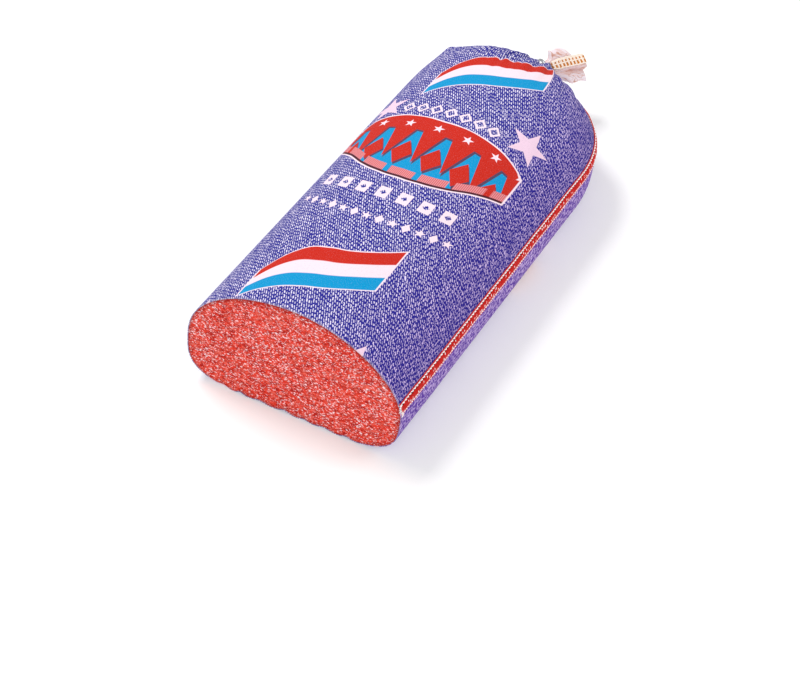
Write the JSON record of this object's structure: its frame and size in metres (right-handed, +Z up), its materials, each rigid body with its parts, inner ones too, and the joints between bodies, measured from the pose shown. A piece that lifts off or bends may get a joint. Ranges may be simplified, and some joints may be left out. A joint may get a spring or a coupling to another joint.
{
  "type": "cured sausage",
  "caption": "Large dry-cured sausage in a sewn printed textile casing, cut square at one end, gathered and clipped with a short tail at the other.",
  "frame": {"origin": "middle of the outer box, on the surface that the sausage lies on", "axes": "+Y from the cut face towards the gathered end and its tail, +Z up, +X towards the side with the sewn seam"},
  "size_m": [0.1536, 0.3866, 0.0865],
  "materials": {
    "meat": "moist, finely ground, with small flecks of fat",
    "printed_cloth": "dry woven textile with a printed pattern, matt",
    "red_thread": "fine overlock stitches",
    "white_thread": "twisted sewing thread",
    "plain_cloth": "unprinted woven textile with a stitched edge",
    "clip_wire": "soft bent wire, slightly dull"
  },
  "bodies": {
    "root": {"meat": "meat", "casing": "printed_cloth", "seam_overlock": "red_thread", "seam_needle_thread": "white_thread", "seam_edge_thread": "white_thread", "closing_clip": "clip_wire", "tail_seam": "plain_cloth"}
  },
  "joints": []
}
